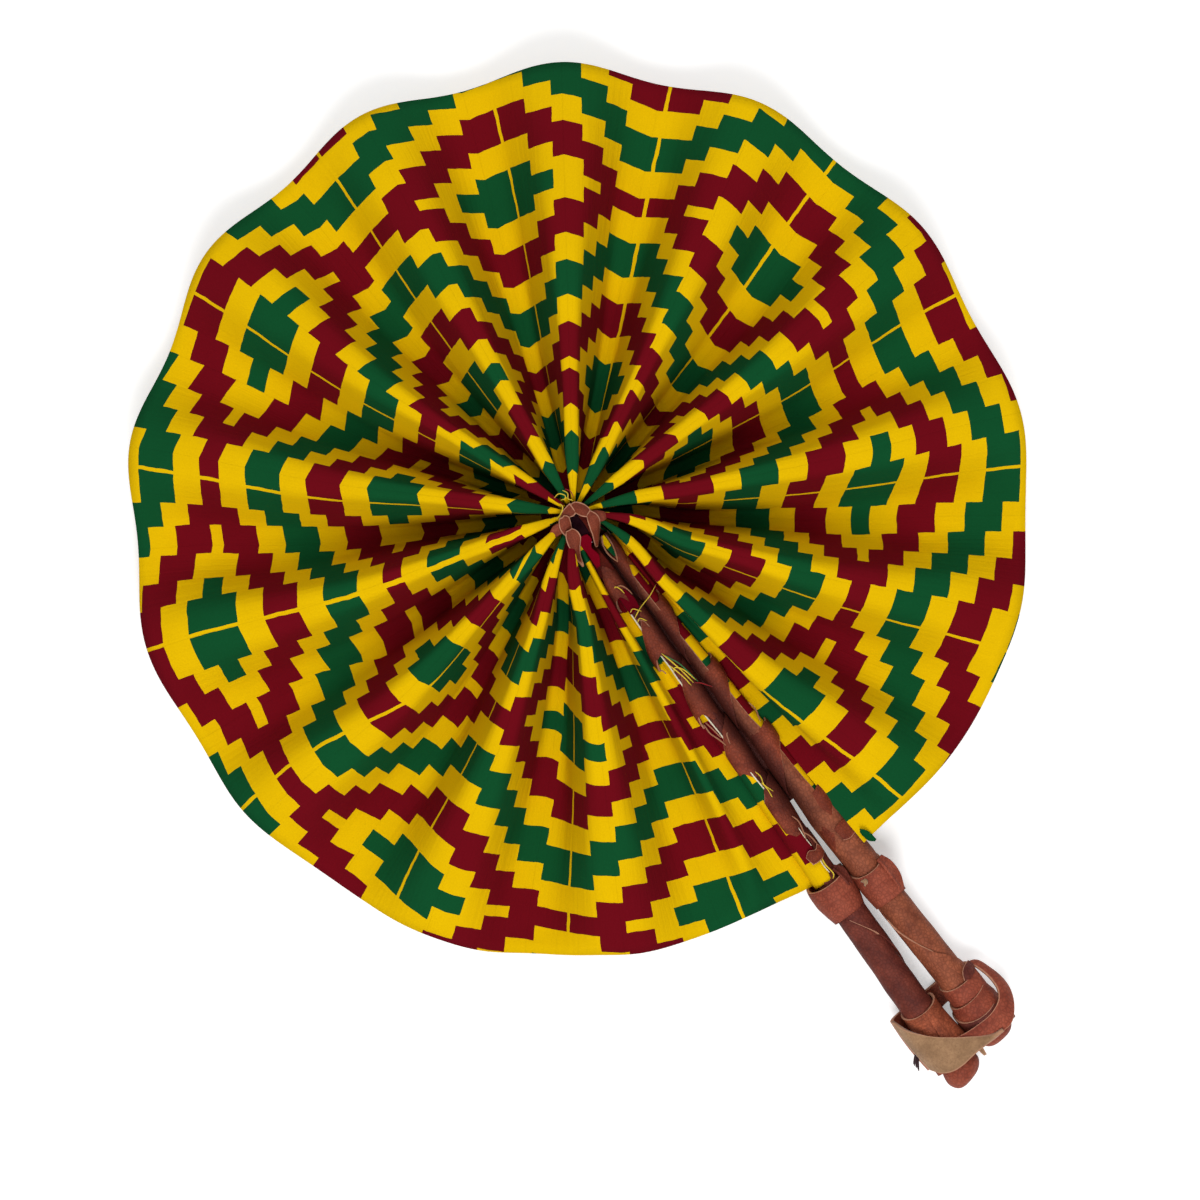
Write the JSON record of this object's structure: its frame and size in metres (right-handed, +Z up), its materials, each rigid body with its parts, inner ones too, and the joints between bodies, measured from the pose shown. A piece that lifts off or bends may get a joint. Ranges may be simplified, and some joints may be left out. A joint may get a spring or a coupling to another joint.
{
  "type": "folding fan",
  "caption": "Pleated cloth fan on two leather-wrapped sticks, opened to a full disc, with a laced centre ring and a closing strap.",
  "frame": {"origin": "under the centre of the disc, on the surface that the fan lies on", "axes": "+Z up through the disc towards the laced ring; -Y along the two sticks to their ends; the left stick on the -X side"},
  "size_m": [0.2589, 0.3316, 0.0324],
  "materials": {
    "print_cloth": "matt woven cotton with a printed pattern",
    "dark_leather": "worn satin",
    "brown_leather": "worn satin",
    "red_leather": "grained, half matt",
    "suede": "rough suede",
    "stick_wood": "plain"
  },
  "bodies": {
    "left_handle": {"left_stick_core": "stick_wood", "left_leather_sleeve": "dark_leather", "left_whip_lacing": "red_leather", "left_rim_collar": "red_leather", "left_anchor_wrap": "red_leather", "left_end_cap": "red_leather", "closing_strap": "suede", "centre_lacing_ring": "red_leather", "centre_back_knot": "dark_leather", "left_lacing_lead": "red_leather", "right_lacing_lead": "red_leather"},
    "panel_01": {"cloth_panel_01": "print_cloth"},
    "panel_02": {"cloth_panel_02": "print_cloth"},
    "panel_03": {"cloth_panel_03": "print_cloth"},
    "panel_04": {"cloth_panel_04": "print_cloth"},
    "panel_05": {"cloth_panel_05": "print_cloth"},
    "panel_06": {"cloth_panel_06": "print_cloth"},
    "panel_07": {"cloth_panel_07": "print_cloth"},
    "panel_08": {"cloth_panel_08": "print_cloth"},
    "panel_09": {"cloth_panel_09": "print_cloth"},
    "panel_10": {"cloth_panel_10": "print_cloth"},
    "panel_11": {"cloth_panel_11": "print_cloth"},
    "panel_12": {"cloth_panel_12": "print_cloth"},
    "panel_13": {"cloth_panel_13": "print_cloth"},
    "panel_14": {"cloth_panel_14": "print_cloth"},
    "panel_15": {"cloth_panel_15": "print_cloth"},
    "panel_16": {"cloth_panel_16": "print_cloth"},
    "panel_17": {"cloth_panel_17": "print_cloth"},
    "panel_18": {"cloth_panel_18": "print_cloth"},
    "panel_19": {"cloth_panel_19": "print_cloth"},
    "panel_20": {"cloth_panel_20": "print_cloth"},
    "panel_21": {"cloth_panel_21": "print_cloth"},
    "panel_22": {"cloth_panel_22": "print_cloth"},
    "panel_23": {"cloth_panel_23": "print_cloth"},
    "panel_24": {"cloth_panel_24": "print_cloth"},
    "panel_25": {"cloth_panel_25": "print_cloth"},
    "panel_26": {"cloth_panel_26": "print_cloth"},
    "panel_27": {"cloth_panel_27": "print_cloth"},
    "right_handle": {"right_stick_core": "stick_wood", "right_leather_sleeve": "brown_leather", "right_whip_lacing": "red_leather", "right_rim_collar": "red_leather", "right_wound_band": "red_leather", "right_end_cap": "red_leather"}
  },
  "joints": [
    {"name": "left_hem_hinge", "type": "hinge", "parent": "left_handle", "child": "panel_01", "pos_m": [-0.00018, -0.00028, 0.01563], "axis": [-0.0535, -0.948, 0.3138], "range_deg": [0, 18.45], "deforming": ["cloth_panel_01"]},
    {"name": "fold_hinge_01", "type": "hinge", "parent": "panel_01", "child": "panel_02", "pos_m": [-0.00015, -0.00009, 0.01709], "axis": [0.2646, 0.9414, 0.2091], "range_deg": [0, 58.4], "deforming": ["cloth_panel_02"]},
    {"name": "fold_hinge_02", "type": "hinge", "parent": "panel_02", "child": "panel_03", "pos_m": [-0.00003, -0.00005, 0.01604], "axis": [-0.4999, -0.8552, 0.1366], "range_deg": [0, 79.9], "deforming": ["cloth_panel_03"]},
    {"name": "fold_hinge_03", "type": "hinge", "parent": "panel_03", "child": "panel_04", "pos_m": [-0.00004, -0.00005, 0.01696], "axis": [0.6814, 0.719, 0.1366], "range_deg": [0, 79.9], "deforming": ["cloth_panel_04"]},
    {"name": "fold_hinge_04", "type": "hinge", "parent": "panel_04", "child": "panel_05", "pos_m": [-0.00005, -0.00003, 0.01604], "axis": [-0.8272, -0.5451, 0.1366], "range_deg": [0, 79.9], "deforming": ["cloth_panel_05"]},
    {"name": "fold_hinge_05", "type": "hinge", "parent": "panel_05", "child": "panel_06", "pos_m": [-0.00006, -0.00002, 0.01696], "axis": [0.9295, 0.3426, 0.1366], "range_deg": [0, 79.9], "deforming": ["cloth_panel_06"]},
    {"name": "fold_hinge_06", "type": "hinge", "parent": "panel_06", "child": "panel_07", "pos_m": [-0.00006, -0.00001, 0.01604], "axis": [-0.9831, -0.1221, 0.1366], "range_deg": [0, 79.9], "deforming": ["cloth_panel_07"]},
    {"name": "fold_hinge_07", "type": "hinge", "parent": "panel_07", "child": "panel_08", "pos_m": [-0.00006, 0.00001, 0.01696], "axis": [0.9851, -0.1049, 0.1366], "range_deg": [0, 79.9], "deforming": ["cloth_panel_08"]},
    {"name": "fold_hinge_08", "type": "hinge", "parent": "panel_08", "child": "panel_09", "pos_m": [-0.00006, 0.00002, 0.01604], "axis": [-0.9354, 0.3263, 0.1366], "range_deg": [0, 79.9], "deforming": ["cloth_panel_09"]},
    {"name": "fold_hinge_09", "type": "hinge", "parent": "panel_09", "child": "panel_10", "pos_m": [-0.00005, 0.00003, 0.01696], "axis": [0.8366, -0.5306, 0.1366], "range_deg": [0, 79.9], "deforming": ["cloth_panel_10"]},
    {"name": "fold_hinge_10", "type": "hinge", "parent": "panel_10", "child": "panel_11", "pos_m": [-0.00004, 0.00005, 0.01604], "axis": [-0.6939, 0.707, 0.1366], "range_deg": [0, 79.9], "deforming": ["cloth_panel_11"]},
    {"name": "fold_hinge_11", "type": "hinge", "parent": "panel_11", "child": "panel_12", "pos_m": [-0.00003, 0.00005, 0.01696], "axis": [0.5148, -0.8464, 0.1366], "range_deg": [0, 79.9], "deforming": ["cloth_panel_12"]},
    {"name": "fold_hinge_12", "type": "hinge", "parent": "panel_12", "child": "panel_13", "pos_m": [-0.00002, 0.00006, 0.01604], "axis": [-0.3087, 0.9413, 0.1366], "range_deg": [0, 79.9], "deforming": ["cloth_panel_13"]},
    {"name": "fold_hinge_13", "type": "hinge", "parent": "panel_13", "child": "panel_14", "pos_m": [-0.00001, 0.00006, 0.01696], "axis": [0.0863, -0.9869, 0.1366], "range_deg": [0, 79.9], "deforming": ["cloth_panel_14"]},
    {"name": "fold_hinge_14", "type": "hinge", "parent": "panel_14", "child": "panel_15", "pos_m": [0.00001, 0.00006, 0.01604], "axis": [0.1405, 0.9806, 0.1366], "range_deg": [0, 79.9], "deforming": ["cloth_panel_15"]},
    {"name": "fold_hinge_15", "type": "hinge", "parent": "panel_15", "child": "panel_16", "pos_m": [0.00002, 0.00006, 0.01696], "axis": [-0.36, -0.9229, 0.1366], "range_deg": [0, 79.9], "deforming": ["cloth_panel_16"]},
    {"name": "fold_hinge_16", "type": "hinge", "parent": "panel_16", "child": "panel_17", "pos_m": [0.00004, 0.00005, 0.01604], "axis": [0.5605, 0.8168, 0.1366], "range_deg": [0, 79.9], "deforming": ["cloth_panel_17"]},
    {"name": "fold_hinge_17", "type": "hinge", "parent": "panel_17", "child": "panel_18", "pos_m": [0.00005, 0.00004, 0.01696], "axis": [-0.7317, -0.6678, 0.1366], "range_deg": [0, 79.9], "deforming": ["cloth_panel_18"]},
    {"name": "fold_hinge_18", "type": "hinge", "parent": "panel_18", "child": "panel_19", "pos_m": [0.00006, 0.00003, 0.01604], "axis": [0.8645, 0.4838, 0.1366], "range_deg": [0, 79.9], "deforming": ["cloth_panel_19"]},
    {"name": "fold_hinge_19", "type": "hinge", "parent": "panel_19", "child": "panel_20", "pos_m": [0.00006, 0.00002, 0.01696], "axis": [-0.9519, -0.2743, 0.1366], "range_deg": [0, 79.9], "deforming": ["cloth_panel_20"]},
    {"name": "fold_hinge_20", "type": "hinge", "parent": "panel_20", "child": "panel_21", "pos_m": [0.00006, 0, 0.01604], "axis": [0.9893, 0.0505, 0.1366], "range_deg": [0, 79.9], "deforming": ["cloth_panel_21"]},
    {"name": "fold_hinge_21", "type": "hinge", "parent": "panel_21", "child": "panel_22", "pos_m": [0.00006, -0.00001, 0.01696], "axis": [-0.9749, 0.1759, 0.1366], "range_deg": [0, 79.9], "deforming": ["cloth_panel_22"]},
    {"name": "fold_hinge_22", "type": "hinge", "parent": "panel_22", "child": "panel_23", "pos_m": [0.00006, -0.00002, 0.01604], "axis": [0.9093, -0.3932, 0.1366], "range_deg": [0, 79.9], "deforming": ["cloth_panel_23"]},
    {"name": "fold_hinge_23", "type": "hinge", "parent": "panel_23", "child": "panel_24", "pos_m": [0.00005, -0.00004, 0.01696], "axis": [-0.7959, 0.5898, 0.1366], "range_deg": [0, 79.9], "deforming": ["cloth_panel_24"]},
    {"name": "fold_hinge_24", "type": "hinge", "parent": "panel_24", "child": "panel_25", "pos_m": [0.00004, -0.00005, 0.01604], "axis": [0.6408, -0.7554, 0.1366], "range_deg": [0, 79.9], "deforming": ["cloth_panel_25"]},
    {"name": "fold_hinge_25", "type": "hinge", "parent": "panel_25", "child": "panel_26", "pos_m": [0.00003, -0.00006, 0.01696], "axis": [-0.4521, 0.8814, 0.1366], "range_deg": [0, 79.9], "deforming": ["cloth_panel_26"]},
    {"name": "fold_hinge_26", "type": "hinge", "parent": "panel_26", "child": "panel_27", "pos_m": [0.00011, -0.00008, 0.01594], "axis": [0.2244, -0.9579, 0.1792], "range_deg": [0, 62.36], "deforming": ["cloth_panel_27"]},
    {"name": "right_hem_hinge", "type": "hinge", "parent": "panel_27", "child": "right_handle", "pos_m": [0.00032, -0.00017, 0.01804], "axis": [-0.0623, 0.9909, 0.1197], "range_deg": [0, 21.92], "deforming": ["closing_strap", "left_lacing_lead", "right_lacing_lead"]}
  ],
  "couplings": [
    {"joint": "left_hem_hinge", "follows": "fold_hinge_13", "ratio": 0.23099},
    {"joint": "fold_hinge_01", "follows": "fold_hinge_13", "ratio": 0.73091},
    {"joint": "fold_hinge_02", "follows": "fold_hinge_13", "ratio": 1},
    {"joint": "fold_hinge_03", "follows": "fold_hinge_13", "ratio": 1},
    {"joint": "fold_hinge_04", "follows": "fold_hinge_13", "ratio": 1},
    {"joint": "fold_hinge_05", "follows": "fold_hinge_13", "ratio": 1},
    {"joint": "fold_hinge_06", "follows": "fold_hinge_13", "ratio": 1},
    {"joint": "fold_hinge_07", "follows": "fold_hinge_13", "ratio": 1},
    {"joint": "fold_hinge_08", "follows": "fold_hinge_13", "ratio": 1},
    {"joint": "fold_hinge_09", "follows": "fold_hinge_13", "ratio": 1},
    {"joint": "fold_hinge_10", "follows": "fold_hinge_13", "ratio": 1},
    {"joint": "fold_hinge_11", "follows": "fold_hinge_13", "ratio": 1},
    {"joint": "fold_hinge_12", "follows": "fold_hinge_13", "ratio": 1},
    {"joint": "fold_hinge_14", "follows": "fold_hinge_13", "ratio": 1},
    {"joint": "fold_hinge_15", "follows": "fold_hinge_13", "ratio": 1},
    {"joint": "fold_hinge_16", "follows": "fold_hinge_13", "ratio": 1},
    {"joint": "fold_hinge_17", "follows": "fold_hinge_13", "ratio": 1},
    {"joint": "fold_hinge_18", "follows": "fold_hinge_13", "ratio": 1},
    {"joint": "fold_hinge_19", "follows": "fold_hinge_13", "ratio": 1},
    {"joint": "fold_hinge_20", "follows": "fold_hinge_13", "ratio": 1},
    {"joint": "fold_hinge_21", "follows": "fold_hinge_13", "ratio": 1},
    {"joint": "fold_hinge_22", "follows": "fold_hinge_13", "ratio": 1},
    {"joint": "fold_hinge_23", "follows": "fold_hinge_13", "ratio": 1},
    {"joint": "fold_hinge_24", "follows": "fold_hinge_13", "ratio": 1},
    {"joint": "fold_hinge_25", "follows": "fold_hinge_13", "ratio": 1},
    {"joint": "fold_hinge_26", "follows": "fold_hinge_13", "ratio": 0.7805},
    {"joint": "right_hem_hinge", "follows": "fold_hinge_13", "ratio": 0.27434}
  ]
}
